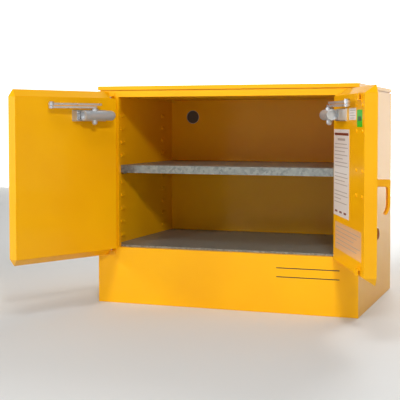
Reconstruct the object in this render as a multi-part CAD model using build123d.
"""Double-walled flammable liquids cabinet with two hinged doors.

Millimetres, +Z up. The origin is the middle of the footprint on the floor, -Y is the front and
+X is to the right of someone facing the doors. Both doors stand open at their stops, so that is
the rest pose. Door parts are made closed, in place, then swung open about the hinge pins. The
right-hand door is the mirror image of the left-hand one, plus the handle, lock and latch.
"""
from build123d import *
import math
import os

# ---- driving dimensions -------------------------------------------------------------------
WIDTH = 935.0
DEPTH = 620.0
HEIGHT = 765.0
SHEET = 1.5                 # steel sheet
OPENING_INSET = 80.0        # outer side to the edge of the door opening
OPENING_BOTTOM = 197.0
OPENING_TOP = 727.0
STRIP_WIDTH = 43.5          # front strip folded from each side panel
CAP_EDGE = 13.5             # depth of the top cap's turned-down edge
CAP_GROOVE = 3.5            # shadow groove under that edge
WALL_GAP = 45.0             # outer face to the inner face of the liner
DOOR_THICKNESS = 38.0
DOOR_STANDOFF = 3.0         # closed door to the front of the frame
DOOR_EDGE_INSET = 48.5      # outer side to the hinge edge of the closed door
DOOR_CENTRE_GAP = 3.0
DOOR_INNER_BOTTOM = 195.0
DOOR_INNER_TOP = 721.5
DOOR_RIM = 24.0             # how far the outer face stands beyond the inner face, top and bottom
DOOR_CORNER_CUT = 17.0
PIVOT_FROM_EDGE = 10.0
PIVOT_FROM_FACE = 20.0
OPEN_ANGLE = 114.5
SHELF_TOP = 484.5
SHELF_SETBACK = 75.0
SHELF_LIP = 27.5
FLOOR_TOP = 203.0
LOUVRE_ROWS = 10
LOUVRE_PITCH = 48.0
LOUVRE_FIRST = 230.5
JOGGLE = 8.0                # how far the wall steps in behind the cap's edge
LOUVRE_WIDTH = 28.0
LOUVRE_DEPTH = 5.0
SUMP_BOTTOM = 42.0
SUMP_TOP = 195.0
SUMP_SETBACK = 26.5         # front of the case to the front of the sump tray
VENTS = ((-330.0, 660.0), (330.0, 262.0))       # x and z on the back panel
VENT_RADIUS = 27.0
SPACER_Z = (205.0, 720.0)
EARTH_X = -400.0
EARTH_Z = 60.0
EARTH_RADIUS = 4.0

# Hinges, in the closed left door's own coordinates: u from its hinge edge, v from its outer face
NOTCH = 22.5                # length of the bevel cut away over each hinge bracket
PIN_RADIUS = 4.0
BUSH_RADIUS = 7.5
BUSH_LENGTH = 14.0
BRACKET_GAP = 6.0           # door's inner edge to the bracket
BRACKET_PLATE = 3.0
BRACKET_HALF_WIDTH = 8.0
BRACKET_LEG = 21.0          # door's inner edge to the end of the bracket's leg
RUNNING = 0.06              # radial clearance of a pin in its bush
STIFFENER_U = (230.0, 270.0)
STIFFENER_FLANGE = 15.0

# Door closers
CLOSER_Z = 661.0
CLOSER_V = 80.0
CLOSER_RADIUS = 17.0
CLOSER_U0 = 42.0            # domed end
CLOSER_U1 = 176.0           # ringed end
CLOSER_RING = 12.5          # radius of the hollow in the ringed end
CLOSER_PLATE_U = (50.0, 191.0)
CLOSER_PLATE = 6.0
CLOSER_BLOCK_U = 177.5
CLOSER_BLOCK = 26.0         # how far the end block stands off the door
SPINDLE_U = 128.0
SPINDLE_RADIUS = 7.0
SPINDLE_NECK = 5.0
ELBOW_U = 293.0
ELBOW_V = 61.0
TIP_U = 98.0
TIP_V = 70.0
TIP_HOLE = 3.0
ARM_WIDTH = 17.0
ARM_THICK = 7.0
MAIN_ARM_Z = 685.0
FOREARM_Z = 695.0
ELBOW_RADIUS = 4.0
ELBOW_CAP = 9.5

# Handle, latch and lock of the right-hand door
RIGHT_ONLY = ("right",)
HANDLE_U = 355.0
HANDLE_Z = 463.0
HANDLE_SHAFT = 8.0
BLADE_OUT = 53.0
BLADE_THICK = 9.0
LEVER_WIDTH = 24.0
LOCK_U = 386.0
LOCK_Z = 320.0
LOCK_PROUD = 12.0
LOCK_RADIUS = 9.0
LATCH_TRAVEL = 14.0
CAM_PIN = 2.5
TONGUE_U = 362.0
TONGUE_V = 47.0
TONGUE_HALF = 20.0
TONGUE_ARM = 18.5           # door's inner edge to the arm that carries the tongue
TONGUE_TIP = 3.0            # door's inner edge to the drawn-back tongue's tip
TONGUE_SLOT_Z = 12.5        # door's inner edge to the middle of the tongue's slot
GUIDE_ROWS = (686.0, 612.0, 498.0, 425.0)
GUIDE_HALF = 28.0
GUIDE_WING = 16.0
LABEL_THICK = 0.3

HALF_W = WIDTH / 2
FRONT = -DEPTH / 2
BACK = DEPTH / 2
OPENING_X = HALF_W - OPENING_INSET
LINER_X = HALF_W - WALL_GAP
LINER_BACK = BACK - 40.0
SEAM = HEIGHT - CAP_EDGE - CAP_GROOVE
DOOR_WIDTH = HALF_W - DOOR_CENTRE_GAP / 2 - DOOR_EDGE_INSET
DOOR_X = -HALF_W + DOOR_EDGE_INSET
DOOR_Y = FRONT - DOOR_STANDOFF - DOOR_THICKNESS
PIVOT_X = DOOR_X + PIVOT_FROM_EDGE
PIVOT_Y = DOOR_Y + PIVOT_FROM_FACE
CAP_UNDERSIDE = HEIGHT - SHEET
LOUVRE_Y = (FRONT + 92, BACK - 148)
SUMP_FRONT = FRONT + SUMP_SETBACK
CAM_RADIUS = LATCH_TRAVEL / math.sqrt(2)

parts = {}


# ---- helpers ------------------------------------------------------------------------------
def block(x0, x1, y0, y1, z0, z1):
    """A box between two corners, in the cabinet's frame."""
    centre = Pos((x0 + x1) / 2, (y0 + y1) / 2, (z0 + z1) / 2)
    return centre * Box(abs(x1 - x0), abs(y1 - y0), abs(z1 - z0))


def panel(u0, u1, v0, v1, z0, z1):
    """A box on the closed left door: u runs from its hinge edge, v inwards from its outer face."""
    return block(DOOR_X + u0, DOOR_X + u1, DOOR_Y + v0, DOOR_Y + v1, z0, z1)


def post(u, v, radius, z0, z1):
    """An upright cylinder on the closed left door."""
    return Pos(DOOR_X + u, DOOR_Y + v, (z0 + z1) / 2) * Cylinder(radius, z1 - z0)


def stud_in_y(x, z, radius, y0, y1):
    """A cylinder along Y in the cabinet's frame."""
    return Pos(x, (y0 + y1) / 2, z) * Rot(90, 0, 0) * Cylinder(radius, y1 - y0)


def stud(u, z, radius, v0, v1):
    """A cylinder square to the closed left door's face."""
    return stud_in_y(DOOR_X + u, z, radius, DOOR_Y + v0, DOOR_Y + v1)


def rod_in_u(u0, u1, v, z, radius):
    """A cylinder along the width of the closed left door."""
    return Pos(DOOR_X + (u0 + u1) / 2, DOOR_Y + v, z) * Rot(0, 90, 0) * Cylinder(radius, u1 - u0)


def fused(solids):
    """One solid made from pieces that touch or overlap."""
    return solids[0].fuse(*solids[1:]).clean()


def group(solids):
    """Separate solids kept in one node."""
    return Compound(children=[piece for solid in solids for piece in solid.solids()])


def mirrored(shape):
    return mirror(shape, about=Plane.YZ)


def swung_open(shape):
    """Turns a closed left-door part to its open rest position."""
    axis = Axis((PIVOT_X, PIVOT_Y, 0), (0, 0, 1))
    return shape.rotate(axis, -OPEN_ANGLE)


def add(name, shape):
    parts[name] = shape


def add_pair(name, left_shape):
    """A fixed piece and its mirror image."""
    add(name + "_left", left_shape)
    add(name + "_right", mirrored(left_shape))


def add_door_part(name, shape, sides=("left", "right")):
    """A piece of a door, swung open, for one or both doors."""
    opened = swung_open(shape)
    for side in sides:
        add(side + "_" + name, opened if side == "left" else mirrored(opened))


# ---- outer case ---------------------------------------------------------------------------
def make_case():
    rim = block(-HALF_W, HALF_W, FRONT, BACK, HEIGHT - CAP_EDGE, HEIGHT)
    hollow = block(-HALF_W + SHEET, HALF_W - SHEET, FRONT + SHEET, BACK - SHEET,
                   HEIGHT - CAP_EDGE - 1, CAP_UNDERSIDE)
    add("top_cap", rim - hollow)

    outer = -HALF_W
    side = fused([
        block(outer, outer + SHEET, FRONT + SHEET, BACK, 0, SEAM),
        block(outer, outer + JOGGLE, FRONT, BACK - SHEET, SEAM - SHEET, SEAM),
        block(outer + JOGGLE - SHEET, outer + JOGGLE, FRONT + JOGGLE, BACK - JOGGLE + SHEET,
              SEAM - SHEET, CAP_UNDERSIDE),
        block(outer, outer + STRIP_WIDTH, FRONT, FRONT + SHEET, OPENING_BOTTOM, SEAM),
        block(outer, outer + STRIP_WIDTH, FRONT, FRONT + JOGGLE, SEAM - SHEET, SEAM),
        block(outer + JOGGLE - SHEET, outer + STRIP_WIDTH, FRONT + JOGGLE - SHEET, FRONT + JOGGLE,
              SEAM - SHEET, CAP_UNDERSIDE),
    ])
    add_pair("side_panel", side)

    inside_x = HALF_W - SHEET
    ledge_x = HALF_W - JOGGLE
    back = fused([
        block(-inside_x, inside_x, BACK - SHEET, BACK, SHEET, SEAM),
        block(-ledge_x, ledge_x, BACK - JOGGLE, BACK, SEAM - SHEET, SEAM),
        block(-ledge_x, ledge_x, BACK - JOGGLE, BACK - JOGGLE + SHEET,
              SEAM - SHEET, CAP_UNDERSIDE),
    ])
    for x, z in VENTS:
        back -= stud_in_y(x, z, VENT_RADIUS, BACK - 10, BACK + 10)
    back -= stud_in_y(EARTH_X, EARTH_Z, EARTH_RADIUS, BACK - 10, BACK + 10)
    add("back_panel", back)

    # The base panel's top edge is folded back, with a slot for the lower latch tongue.
    fold_back = FRONT + 25
    base = fused([
        block(-HALF_W, HALF_W, FRONT, FRONT + SHEET, 0, OPENING_BOTTOM),
        block(-inside_x, inside_x, FRONT, fold_back, OPENING_BOTTOM - SHEET, OPENING_BOTTOM),
        block(-inside_x, inside_x, fold_back - SHEET, fold_back,
              OPENING_BOTTOM - 15, OPENING_BOTTOM),
    ])
    add("base_front_panel", base - latch_slot(OPENING_BOTTOM))
    add("bottom_plate", block(-inside_x, inside_x, FRONT + SHEET, BACK - SHEET, 0, SHEET))

    strip_x = HALF_W - STRIP_WIDTH
    header = fused([
        block(-strip_x, strip_x, FRONT, FRONT + SHEET, OPENING_TOP, SEAM),
        block(-strip_x, strip_x, FRONT, FRONT + JOGGLE, SEAM - SHEET, SEAM),
        block(-strip_x, strip_x, FRONT + JOGGLE - SHEET, FRONT + JOGGLE,
              SEAM - SHEET, CAP_UNDERSIDE),
        block(-strip_x, strip_x, FRONT, FRONT + 30, OPENING_TOP, OPENING_TOP + SHEET),
    ])
    add("header_rail", header - latch_slot(OPENING_TOP))

    lip_back = FRONT + 18
    jamb = fused([
        block(-strip_x, -OPENING_X, FRONT, FRONT + SHEET, OPENING_BOTTOM, OPENING_TOP),
        block(-OPENING_X - SHEET, -OPENING_X, FRONT, lip_back, OPENING_BOTTOM, OPENING_TOP),
        block(-LINER_X, -OPENING_X, lip_back - SHEET, lip_back, OPENING_BOTTOM, OPENING_TOP),
    ])
    add_pair("door_jamb", jamb)


def latch_slot(z):
    """The slot that a latch tongue enters, in the fold at the edge of the opening."""
    x = HALF_W - DOOR_EDGE_INSET - TONGUE_U
    y = DOOR_Y + TONGUE_V
    return block(x - 24, x + 24, y - 4, y + 6, z - 5, z + 5)


# ---- liner, sump and shelf ----------------------------------------------------------------
def louvre(y, z):
    """A half-louvre pressed into the left liner wall, open underneath."""
    with BuildPart() as hood:
        with BuildSketch(Plane.XZ.offset(-y)):
            with BuildLine():
                Polyline((-LINER_X - SHEET / 2, z - 5), (-LINER_X + LOUVRE_DEPTH, z - 5),
                         (-LINER_X + LOUVRE_DEPTH, z - 1), (-LINER_X, z + 9),
                         (-LINER_X - SHEET / 2, z + 9), close=True)
            make_face()
        extrude(amount=-LOUVRE_WIDTH)
    return hood.part


def make_liner():
    jamb_back = FRONT + 18
    wall = -LINER_X
    side = [block(wall - SHEET, wall, jamb_back, LINER_BACK, OPENING_BOTTOM, OPENING_TOP)]
    for row in range(LOUVRE_ROWS):
        for y in LOUVRE_Y:
            side.append(louvre(y, LOUVRE_FIRST + row * LOUVRE_PITCH))
    add_pair("liner_side", fused(side))

    back = block(-LINER_X - SHEET, LINER_X + SHEET, LINER_BACK, LINER_BACK + SHEET,
                 OPENING_BOTTOM, OPENING_TOP)
    for x, z in VENTS:
        back -= stud_in_y(x, z, VENT_RADIUS, LINER_BACK - 5, LINER_BACK + 5)
    add("liner_back", back)
    add("liner_top", block(-LINER_X - SHEET, LINER_X + SHEET, FRONT + 30, LINER_BACK + SHEET,
                           OPENING_TOP, OPENING_TOP + SHEET))

    # Folded channels hold the outer wall and the liner apart.
    spacers = []
    for y in (FRONT + 120, 0.0, BACK - 120):
        for sign in (-1, 1):
            web = block(sign * (LINER_X + SHEET), sign * (HALF_W - SHEET), y, y + SHEET, *SPACER_Z)
            foot = block(sign * (HALF_W - SHEET), sign * (HALF_W - 2 * SHEET), y, y + 20, *SPACER_Z)
            toe = block(sign * (LINER_X + SHEET), sign * (LINER_X + 2 * SHEET), y, y + 20, *SPACER_Z)
            spacers.append(fused([web, foot, toe]))
    for x in (-140.0, 140.0):
        web = block(x, x + SHEET, LINER_BACK + SHEET, BACK - SHEET, *SPACER_Z)
        foot = block(x, x + 20, BACK - 2 * SHEET, BACK - SHEET, *SPACER_Z)
        toe = block(x, x + 20, LINER_BACK + SHEET, LINER_BACK + 2 * SHEET, *SPACER_Z)
        spacers.append(fused([web, foot, toe]))
    add("wall_spacers", group(spacers))


def make_sump_and_shelf():
    tray_x = LINER_X - 1
    tray_back = LINER_BACK - 1
    tray = block(-tray_x, tray_x, SUMP_FRONT, tray_back, SUMP_BOTTOM, SUMP_TOP)
    tray -= block(-tray_x + SHEET, tray_x - SHEET, SUMP_FRONT + SHEET, tray_back - SHEET,
                  SUMP_BOTTOM + SHEET, SUMP_TOP + 1)
    rail = 12.0
    rim = block(-tray_x, tray_x, SUMP_FRONT, tray_back, SUMP_TOP - SHEET, SUMP_TOP)
    rim -= block(-tray_x + rail, tray_x - rail, SUMP_FRONT + rail, tray_back - rail,
                 SUMP_TOP - 5, SUMP_TOP + 5)
    add("sump_tray", fused([tray, rim]))

    # Two bearers carry the tray above the bottom plate.
    bearers = [block(x - 30, x + 30, SUMP_FRONT + 20, tray_back - 20, SHEET, SUMP_BOTTOM)
               - block(x - 30 + SHEET, x + 30 - SHEET, SUMP_FRONT + 10, tray_back - 10,
                       SHEET - 1, SUMP_BOTTOM - SHEET) for x in (-280.0, 280.0)]
    add("sump_bearers", group(bearers))

    floor_x = LINER_X - 2
    floor_y0 = SUMP_FRONT + 0.5
    floor_y1 = LINER_BACK - 3
    floor = block(-floor_x, floor_x, floor_y0, floor_y1, SUMP_TOP, FLOOR_TOP)
    floor -= block(-floor_x + SHEET, floor_x - SHEET, floor_y0 + SHEET, floor_y1 - SHEET,
                   SUMP_TOP - 1, FLOOR_TOP - SHEET)
    for column in range(12):
        for y in (FRONT + 60, LINER_BACK - 40):
            x = (column - 5.5) * 66
            floor -= Pos(x, y, FLOOR_TOP) * Cylinder(5, 10)
    add("sump_floor", floor)

    shelf_x = LINER_X - LOUVRE_DEPTH - 1
    y0 = FRONT + SHELF_SETBACK
    y1 = LINER_BACK - 8
    lip_foot = SHELF_TOP - SHELF_LIP
    side_drop = 10.0
    shelf = fused([
        block(-shelf_x, shelf_x, y0, y1, SHELF_TOP - SHEET, SHELF_TOP),
        block(-shelf_x, shelf_x, y0, y0 + SHEET, lip_foot, SHELF_TOP),
        block(-shelf_x, shelf_x, y0, y0 + 12, lip_foot, lip_foot + SHEET),
        block(-shelf_x, shelf_x, y1 - SHEET, y1, lip_foot, SHELF_TOP),
        block(-shelf_x, -shelf_x + SHEET, y0, y1, SHELF_TOP - side_drop, SHELF_TOP),
        block(shelf_x - SHEET, shelf_x, y0, y1, SHELF_TOP - side_drop, SHELF_TOP),
    ])
    add("shelf", shelf)

    clips = []
    clip_top = SHELF_TOP - SHEET
    hook_z = LOUVRE_FIRST + 5 * LOUVRE_PITCH - 5
    for y in LOUVRE_Y:
        seat = block(-LINER_X + LOUVRE_DEPTH + 3.5, -LINER_X + 30, y + 2, y + 26,
                     clip_top - 2, clip_top)
        leg = block(-LINER_X + LOUVRE_DEPTH + 3.5, -LINER_X + LOUVRE_DEPTH + 5.5, y + 2, y + 26,
                    hook_z - 14, clip_top)
        hook = block(-LINER_X, -LINER_X + LOUVRE_DEPTH + 5.5, y + 2, y + 26,
                     hook_z - 14, hook_z - 12)
        clip = fused([seat, leg, hook])
        clips += [clip, mirrored(clip)]
    add("shelf_clips", group(clips))


# ---- vents and earth point on the back ----------------------------------------------------
def make_vents_and_earth():
    tubes = []
    screens = []
    caps = []
    for x, z in VENTS:
        tube = stud_in_y(x, z, VENT_RADIUS, LINER_BACK, BACK)
        collar = stud_in_y(x, z, VENT_RADIUS + 7, BACK, BACK + 2)
        bore = stud_in_y(x, z, VENT_RADIUS - 2, LINER_BACK - 1, BACK + 3)
        tubes.append(fused([tube, collar]) - bore)
        screens.append(stud_in_y(x, z, VENT_RADIUS - 2, LINER_BACK + 4, LINER_BACK + 8))
        plug = stud_in_y(x, z, VENT_RADIUS - 2, BACK - 12, BACK + 2)
        head = stud_in_y(x, z, VENT_RADIUS + 4, BACK + 2, BACK + 8)
        grip = block(x - 20, x + 20, BACK + 8, BACK + 13, z - 4, z + 4)
        caps.append(fused([plug, head, grip]))
    add("vent_tubes", group(tubes))
    add("flash_arrestors", group(screens))
    add("vent_caps", group(caps))

    add("earth_stud", stud_in_y(EARTH_X, EARTH_Z, EARTH_RADIUS, BACK - 20, BACK + 20))
    nuts = []
    for y0, y1, radius in ((BACK - 8, BACK - SHEET, 7.5), (BACK, BACK + 1.5, 9.0),
                           (BACK + 1.5, BACK + 8, 7.5)):
        sides = 6 if radius < 9 else 32
        ring = extrude(RegularPolygon(radius, sides), amount=y1 - y0)
        ring = Pos(EARTH_X, y1, EARTH_Z) * Rot(90, 0, 0) * ring
        nuts.append(ring - stud_in_y(EARTH_X, EARTH_Z, EARTH_RADIUS, y0 - 1, y1 + 1))
    add("earth_nuts", group(nuts))


# ---- doors --------------------------------------------------------------------------------
def door_block(inset):
    """The closed door's outer form, drawn in by inset on every side."""
    slope = DOOR_RIM / DOOR_THICKNESS
    across_slope = inset * math.hypot(1, slope)
    rise = DOOR_RIM - inset * slope - across_slope
    inner_rise = inset * slope - across_slope
    v0 = DOOR_Y + inset
    v1 = DOOR_Y + DOOR_THICKNESS - inset
    low, high = DOOR_INNER_BOTTOM, DOOR_INNER_TOP
    with BuildPart() as body:
        with BuildSketch(Plane.YZ.offset(DOOR_X + inset)):
            with BuildLine():
                Polyline((v0, low - rise), (v0, high + rise), (v1, high + inner_rise),
                         (v1, low - inner_rise), close=True)
            make_face()
        extrude(amount=DOOR_WIDTH - 2 * inset)
    return body.part


def corner_cutter(top, inset):
    """The wedge that trims an outer corner of the free edge down to the inner face's corner."""
    sign = 1 if top else -1
    edge = DOOR_INNER_TOP if top else DOOR_INNER_BOTTOM
    free = DOOR_X + DOOR_WIDTH
    inner = Vector(free, DOOR_Y + DOOR_THICKNESS, edge)
    along = Vector(free - DOOR_CORNER_CUT, DOOR_Y, edge + sign * DOOR_RIM)
    down = Vector(free, DOOR_Y, edge)
    normal = (along - inner).cross(down - inner).normalized()
    outward = normal if normal.X > 0 else normal * -1
    base = Plane(origin=inner - outward * inset, z_dir=outward)
    size = 120.0
    return base.location * Pos(0, 0, size / 2) * Box(size, size, size)


def trimmed_door(inset):
    body = door_block(inset)
    for top in (True, False):
        body -= corner_cutter(top, inset)
    return body


def hinge_notches(reach, floor):
    """Cuts the bevel away over the hinge brackets, leaving the outer face plate standing."""
    above = panel(-5, reach, SHEET, DOOR_THICKNESS + 5, DOOR_INNER_TOP - floor, HEIGHT)
    below = panel(-5, reach, SHEET, DOOR_THICKNESS + 5, 100, DOOR_INNER_BOTTOM + floor)
    return above, below


def outer_skin():
    """The pressed pan: outer face, bevelled top and bottom edges and square side edges."""
    inner_plane = DOOR_THICKNESS - SHEET
    solid = trimmed_door(0)
    cavity = trimmed_door(SHEET)
    for cutter in hinge_notches(NOTCH, 0):
        solid -= cutter
    for cutter in hinge_notches(NOTCH + SHEET, SHEET):
        cavity -= cutter
    pan = solid - cavity
    pan -= panel(-5, DOOR_WIDTH + 5, inner_plane, DOOR_THICKNESS + 5, 100, HEIGHT)
    for z0, z1 in ((100, DOOR_INNER_BOTTOM + 20), (DOOR_INNER_TOP - 20, HEIGHT)):
        pan -= post(PIVOT_FROM_EDGE, PIVOT_FROM_FACE, BUSH_RADIUS, z0, z1)
    return pan


def inner_skin():
    return panel(0, DOOR_WIDTH, DOOR_THICKNESS - SHEET, DOOR_THICKNESS,
                 DOOR_INNER_BOTTOM, DOOR_INNER_TOP)


def stiffener():
    """Top-hat channel between the skins."""
    inner = DOOR_THICKNESS - SHEET
    z0, z1 = DOOR_INNER_BOTTOM + 12, DOOR_INNER_TOP - 12
    u0, u1 = STIFFENER_U
    return fused([
        panel(u0, u1, SHEET, 2 * SHEET, z0, z1),
        panel(u0, u0 + SHEET, SHEET, inner, z0, z1),
        panel(u1 - SHEET, u1, SHEET, inner, z0, z1),
        panel(u0 - STIFFENER_FLANGE, u0 + SHEET, inner - SHEET, inner, z0, z1),
        panel(u1 - SHEET, u1 + STIFFENER_FLANGE, inner - SHEET, inner, z0, z1),
    ])


def make_doors():
    right_skin = inner_skin()
    half = TONGUE_HALF + 1
    for z in (DOOR_INNER_TOP - TONGUE_SLOT_Z, DOOR_INNER_BOTTOM + TONGUE_SLOT_Z):
        right_skin -= panel(TONGUE_U - half, TONGUE_U + half, 30, 50, z - 9, z + 9)
    add_door_part("door_inner_skin", inner_skin(), ("left",))
    add_door_part("door_inner_skin", right_skin, ("right",))

    right_pan = outer_skin()
    right_pan -= stud(HANDLE_U, HANDLE_Z, HANDLE_SHAFT + 1, -5, 5)
    right_pan -= stud(LOCK_U, LOCK_Z, LOCK_RADIUS + 0.5, -5, 5)
    add_door_part("door_outer_skin", outer_skin(), ("left",))
    add_door_part("door_outer_skin", right_pan, ("right",))
    add_door_part("door_stiffener", stiffener())

    bushes = []
    for z0, z1 in ((DOOR_INNER_TOP - BUSH_LENGTH, DOOR_INNER_TOP),
                   (DOOR_INNER_BOTTOM, DOOR_INNER_BOTTOM + BUSH_LENGTH)):
        bush = post(PIVOT_FROM_EDGE, PIVOT_FROM_FACE, BUSH_RADIUS, z0, z1)
        bushes.append(bush - post(PIVOT_FROM_EDGE, PIVOT_FROM_FACE, PIN_RADIUS + RUNNING,
                                  z0 - 1, z1 + 1))
    add_door_part("hinge_bushes", group(bushes))


def make_hinges():
    """Angle brackets on the frame carry a fixed pin at the top and bottom of each door."""
    brackets = []
    pins = []
    x0, x1 = PIVOT_X - BRACKET_HALF_WIDTH, PIVOT_X + BRACKET_HALF_WIDTH
    ear = DOOR_INNER_TOP + BRACKET_GAP
    ear_top = ear + BRACKET_PLATE
    tongue = block(x0, x1, PIVOT_Y - BRACKET_HALF_WIDTH, FRONT, ear, ear_top)
    leg = block(x0, x1, FRONT - BRACKET_PLATE, FRONT, ear, DOOR_INNER_TOP + BRACKET_LEG)
    pin = post(PIVOT_FROM_EDGE, PIVOT_FROM_FACE, PIN_RADIUS, DOOR_INNER_TOP - BUSH_LENGTH, ear_top)
    bracket = fused([tongue, leg]) - pin
    middle = (DOOR_INNER_TOP + DOOR_INNER_BOTTOM) / 2
    level = Plane((0, 0, middle), z_dir=(0, 0, 1))
    for shape, store in ((bracket, brackets), (pin, pins)):
        for solid in (shape, mirror(shape, about=level)):
            store += [solid, mirrored(solid)]
    add("hinge_brackets", group(brackets))
    add("hinge_pins", group(pins))


# ---- door closers -------------------------------------------------------------------------
def bar(u0, v0, u1, v1, width, z0, z1):
    """A flat bar with round ends between two points on the door."""
    length = math.hypot(u1 - u0, v1 - v0)
    angle = math.degrees(math.atan2(v1 - v0, u1 - u0))
    outline = extrude(SlotCenterToCenter(length, width), amount=z1 - z0)
    middle = Pos(DOOR_X + (u0 + u1) / 2, DOOR_Y + (v0 + v1) / 2, z0)
    return middle * Rot(0, 0, angle) * outline


def make_closers():
    face = DOOR_THICKNESS
    plate_top = face + CLOSER_PLATE
    block_top = face + CLOSER_BLOCK
    u0, u1 = CLOSER_PLATE_U
    base = fused([
        panel(u0, u1, face, plate_top, CLOSER_Z - 19, CLOSER_Z + 19),
        panel(CLOSER_BLOCK_U, u1, plate_top, block_top, CLOSER_Z - 16.5, CLOSER_Z + 16.5),
    ])
    screws = []
    for u, seat in ((u0 + 8, plate_top), (u1 - 7, block_top)):
        for z in (CLOSER_Z - 10, CLOSER_Z + 10):
            base -= stud(u, z, 2.5, face - 5, face + 40)
            shank = stud(u, z, 2.5, face, seat)
            head = stud(u, z, 4.5, seat, seat + 2.5)
            slot = panel(u - 3.5, u + 3.5, seat + 1.5, seat + 4, z - 0.6, z + 0.6)
            screws.append(fused([shank, head]) - slot)
    add_door_part("closer_base", base)
    add_door_part("closer_screws", group(screws))

    dome_u = CLOSER_U0 + CLOSER_RADIUS
    dome = Pos(DOOR_X + dome_u, DOOR_Y + CLOSER_V, CLOSER_Z) * Sphere(CLOSER_RADIUS)
    foot_dome = Pos(DOOR_X + SPINDLE_U, DOOR_Y + CLOSER_V, CLOSER_Z - 23) * Sphere(9)
    body = fused([
        rod_in_u(dome_u, CLOSER_U1, CLOSER_V, CLOSER_Z, CLOSER_RADIUS),
        dome,
        panel(68, 170, plate_top, CLOSER_V, CLOSER_Z - 14, CLOSER_Z + 14),
        post(SPINDLE_U, CLOSER_V, 12.0, CLOSER_Z, CLOSER_Z + 22),
        post(SPINDLE_U, CLOSER_V, 9.0, CLOSER_Z - 23, CLOSER_Z),
        foot_dome,
    ])
    body -= rod_in_u(CLOSER_U1 - 6, CLOSER_U1 + 5, CLOSER_V, CLOSER_Z, CLOSER_RING)
    groove = rod_in_u(CLOSER_U1 - 14, CLOSER_U1 - 12, CLOSER_V, CLOSER_Z, CLOSER_RADIUS + 5)
    groove -= rod_in_u(CLOSER_U1 - 15, CLOSER_U1 - 11, CLOSER_V, CLOSER_Z, CLOSER_RADIUS - 0.8)
    body -= groove
    body -= post(SPINDLE_U, CLOSER_V, SPINDLE_RADIUS + RUNNING, CLOSER_Z - 21, CLOSER_Z + 40)
    add_door_part("closer_body", body)

    spindle = fused([
        post(SPINDLE_U, CLOSER_V, SPINDLE_RADIUS, CLOSER_Z - 20.5, MAIN_ARM_Z),
        post(SPINDLE_U, CLOSER_V, 9.0, CLOSER_Z + 22.5, MAIN_ARM_Z),
        post(SPINDLE_U, CLOSER_V, SPINDLE_NECK, MAIN_ARM_Z - 1, MAIN_ARM_Z + ARM_THICK),
    ])
    add_door_part("closer_spindle", spindle)

    main_top = MAIN_ARM_Z + ARM_THICK
    main = bar(SPINDLE_U, CLOSER_V, ELBOW_U, ELBOW_V, ARM_WIDTH, MAIN_ARM_Z, main_top)
    main -= post(SPINDLE_U, CLOSER_V, SPINDLE_NECK, MAIN_ARM_Z - 1, main_top + 1)
    main -= post(ELBOW_U, ELBOW_V, ELBOW_RADIUS, MAIN_ARM_Z - 1, main_top + 1)
    add_door_part("closer_main_arm", main)

    forearm_top = FOREARM_Z + ARM_THICK
    forearm = bar(ELBOW_U, ELBOW_V, TIP_U, TIP_V, ARM_WIDTH - 2, FOREARM_Z, forearm_top)
    knuckle = post(ELBOW_U, ELBOW_V, ELBOW_CAP, FOREARM_Z - 2, forearm_top)
    forearm = fused([forearm, knuckle])
    forearm -= post(ELBOW_U, ELBOW_V, ELBOW_RADIUS + RUNNING, FOREARM_Z - 3, forearm_top + 1)
    forearm -= post(TIP_U, TIP_V, TIP_HOLE, FOREARM_Z - 1, forearm_top + 1)
    add_door_part("closer_forearm", forearm)

    elbow = fused([
        post(ELBOW_U, ELBOW_V, ELBOW_RADIUS, MAIN_ARM_Z, forearm_top + 1),
        post(ELBOW_U, ELBOW_V, ELBOW_RADIUS + 3, MAIN_ARM_Z - 2, MAIN_ARM_Z),
        post(ELBOW_U, ELBOW_V, ELBOW_CAP, forearm_top + 0.5, forearm_top + 4),
    ])
    add_door_part("elbow_pin", elbow)


# ---- handle, latch and lock of the right-hand door ----------------------------------------
def lever():
    """A lever hanging from its boss, with a blade that curls back to the door at its foot."""
    arm_back = DOOR_Y - 6.6
    front = DOOR_Y - BLADE_OUT
    back = front + BLADE_THICK
    top = HANDLE_Z + 11
    under = HANDLE_Z - 11
    crook = HANDLE_Z - 62       # where the blade starts to curl
    with BuildPart() as body:
        with BuildSketch(Plane.YZ.offset(DOOR_X + HANDLE_U - LEVER_WIDTH / 2)):
            with BuildLine():
                Polyline((arm_back, under), (arm_back, top), (front + 7, top))
                RadiusArc((front + 7, top), (front, top - 7), -7)
                Line((front, top - 7), (front + 1, crook))
                ThreePointArc((front + 1, crook), (front + 5, crook - 18), (front + 14, crook - 31))
                Line((front + 14, crook - 31), (front + 19, crook - 29))
                ThreePointArc((front + 19, crook - 29), (front + 12, crook - 16), (back, crook + 2))
                Line((back, crook + 2), (back, under - 8))
                RadiusArc((back, under - 8), (back + 8, under), 8)
                Line((back + 8, under), (arm_back, under))
            make_face()
        extrude(amount=LEVER_WIDTH)
        outline = body.edges().filter_by(lambda edge: abs(edge.tangent_at(0.5).X) < 0.01)
        fillet(outline.filter_by(lambda edge: edge.center().Y < arm_back - 1), 2.5)
    return body.part - stud(HANDLE_U, HANDLE_Z, HANDLE_SHAFT, -30, 0)


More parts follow.
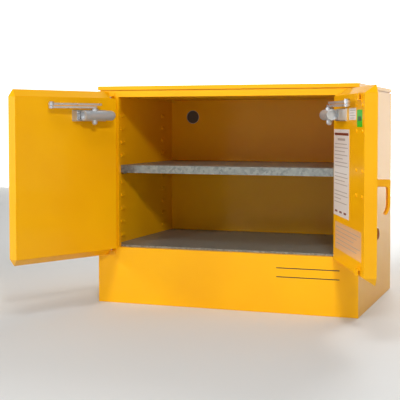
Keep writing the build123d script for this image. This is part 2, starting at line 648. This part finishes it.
def make_handle_and_lock():
    rose = stud(HANDLE_U, HANDLE_Z, 21.0, -6, 0)
    rose -= stud(HANDLE_U, HANDLE_Z, HANDLE_SHAFT + RUNNING, -10, 5)
    add_door_part("handle_rose", rose, RIGHT_ONLY)
    add_door_part("lever_handle", lever(), RIGHT_ONLY)

    shaft = stud(HANDLE_U, HANDLE_Z, HANDLE_SHAFT, -30, 12)
    disc = stud(HANDLE_U, HANDLE_Z, 17.0, 9, 12)
    reach = CAM_RADIUS / math.sqrt(2)
    top_pin = stud(HANDLE_U - reach, HANDLE_Z - reach, CAM_PIN, 12, 18)
    low_pin = stud(HANDLE_U + reach, HANDLE_Z + reach, CAM_PIN, 12, 18)
    add_door_part("latch_cam", fused([shaft, disc, top_pin, low_pin]), RIGHT_ONLY)

    slot = CAM_PIN + 0.7        # half the width of the slot a cam pin slides in
    top_slot = panel(HANDLE_U - 20, HANDLE_U - 3, 10, 20,
                     HANDLE_Z - reach - slot, HANDLE_Z - reach + slot)
    low_slot = panel(HANDLE_U + 3, HANDLE_U + 20, 10, 20,
                     HANDLE_Z + reach - slot, HANDLE_Z + reach + slot)
    far_side = 24.0             # the rods' far edges from the handle's axis
    rod_v = (13.0, 15.0)
    crank = 400.0               # where the bottom rod steps across under the cam
    top_z = DOOR_INNER_TOP - TONGUE_ARM
    low_z = DOOR_INNER_BOTTOM + TONGUE_ARM
    top_tip = DOOR_INNER_TOP - TONGUE_TIP
    low_tip = DOOR_INNER_BOTTOM + TONGUE_TIP
    shutter = DOOR_THICKNESS + 0.6      # a plate that covers the tongue's slot in the inner skin
    u0, u1 = TONGUE_U - TONGUE_HALF, TONGUE_U + TONGUE_HALF
    top_rod = fused([
        panel(HANDLE_U - far_side, HANDLE_U - 1, *rod_v, HANDLE_Z - 16, top_z - 2),
        panel(HANDLE_U - far_side, u1, *rod_v, top_z - 8, top_z - 2),
        panel(u0, u1, rod_v[0], TONGUE_V + 2, top_z - 2, top_z),
        panel(u0, u1, TONGUE_V - 1, TONGUE_V + 2, top_z - 2, top_tip),
        panel(u0 - 2, u1 + 2, shutter, shutter + 1.5, top_z - 8, top_tip),
    ]) - top_slot
    low_rod = fused([
        panel(HANDLE_U + 1, HANDLE_U + far_side, *rod_v, crank, HANDLE_Z + 16),
        panel(HANDLE_U - 18, HANDLE_U + far_side, *rod_v, crank - 18, crank),
        panel(HANDLE_U - 18, HANDLE_U, *rod_v, low_z + 2, crank),
        panel(HANDLE_U - 18, u1, *rod_v, low_z + 2, low_z + 14),
        panel(u0, u1, rod_v[0], TONGUE_V + 2, low_z, low_z + 2),
        panel(u0, u1, TONGUE_V - 1, TONGUE_V + 2, low_tip, low_z + 2),
        panel(u0 - 2, u1 + 2, shutter, shutter + 1.5, low_tip, low_z + 8),
    ]) - low_slot
    add_door_part("latch_rod_top", top_rod, RIGHT_ONLY)
    add_door_part("latch_rod_bottom", low_rod, RIGHT_ONLY)

    guides = []
    rivets = []
    inner = DOOR_THICKNESS - SHEET
    u0, u1 = HANDLE_U - GUIDE_HALF, HANDLE_U + GUIDE_HALF
    for z in GUIDE_ROWS:
        low, high = z - 8, z + 8
        strap = fused([
            panel(u0, u1, 10, 12, low, high),
            panel(u0, u0 + 2, 10, inner, low, high),
            panel(u1 - 2, u1, 10, inner, low, high),
            panel(u0 - GUIDE_WING, u0, inner - 2, inner, low, high),
            panel(u1, u1 + GUIDE_WING, inner - 2, inner, low, high),
        ])
        for u in (u0 - GUIDE_WING + 7, u1 + GUIDE_WING - 7):
            strap -= stud(u, z, 2.5, inner - 4, inner + 4)
            shank = stud(u, z, 2.5, inner - 2, DOOR_THICKNESS)
            head = stud(u, z, 5.0, DOOR_THICKNESS, DOOR_THICKNESS + 2.5)
            rivets.append(fused([shank, head]))
        guides.append(strap)
    add_door_part("rod_guides", group(guides), RIGHT_ONLY)
    for rivet in rivets:
        parts["right_door_inner_skin"] -= mirrored(swung_open(rivet))
    add_door_part("guide_rivets", group(rivets), RIGHT_ONLY)

    bezel = fused([stud(LOCK_U, LOCK_Z, 21.0, -4, 0), stud(LOCK_U, LOCK_Z, 18.0, -LOCK_PROUD, -4)])
    rim = bezel.faces().sort_by(Axis.Y)[0].edges()
    bezel = fillet(rim, 5)
    bezel -= stud(LOCK_U, LOCK_Z, LOCK_RADIUS + RUNNING, -LOCK_PROUD - 5, 5)
    add_door_part("lock_bezel", bezel, RIGHT_ONLY)
    plug = fused([stud(LOCK_U, LOCK_Z, LOCK_RADIUS, 0.5 - LOCK_PROUD, 16),
                  panel(LOCK_U - 7, LOCK_U + 7, 16, 18, LOCK_Z - 34, LOCK_Z + 9)])
    plug -= panel(LOCK_U - 1, LOCK_U + 1, -LOCK_PROUD, -6, LOCK_Z - 5, LOCK_Z + 5)
    add_door_part("lock_cylinder", plug, RIGHT_ONLY)


def make_labels():
    face = (DOOR_THICKNESS, DOOR_THICKNESS + LABEL_THICK)
    add_door_part("door_label", panel(4, 224, *face, 342, 616), RIGHT_ONLY)
    add_door_part("small_label", panel(222, 312, *face, 645, 680), RIGHT_ONLY)
    add_door_part("green_sticker", panel(325, 390, *face, 624, 674), RIGHT_ONLY)


make_case()
make_liner()
make_sump_and_shelf()
make_vents_and_earth()
make_doors()
make_hinges()
make_closers()
make_handle_and_lock()
make_labels()

os.makedirs("parts", exist_ok=True)
for node_name, node_shape in parts.items():
    export_step(node_shape, os.path.join("parts", node_name + ".step"))
print(len(parts), "nodes")
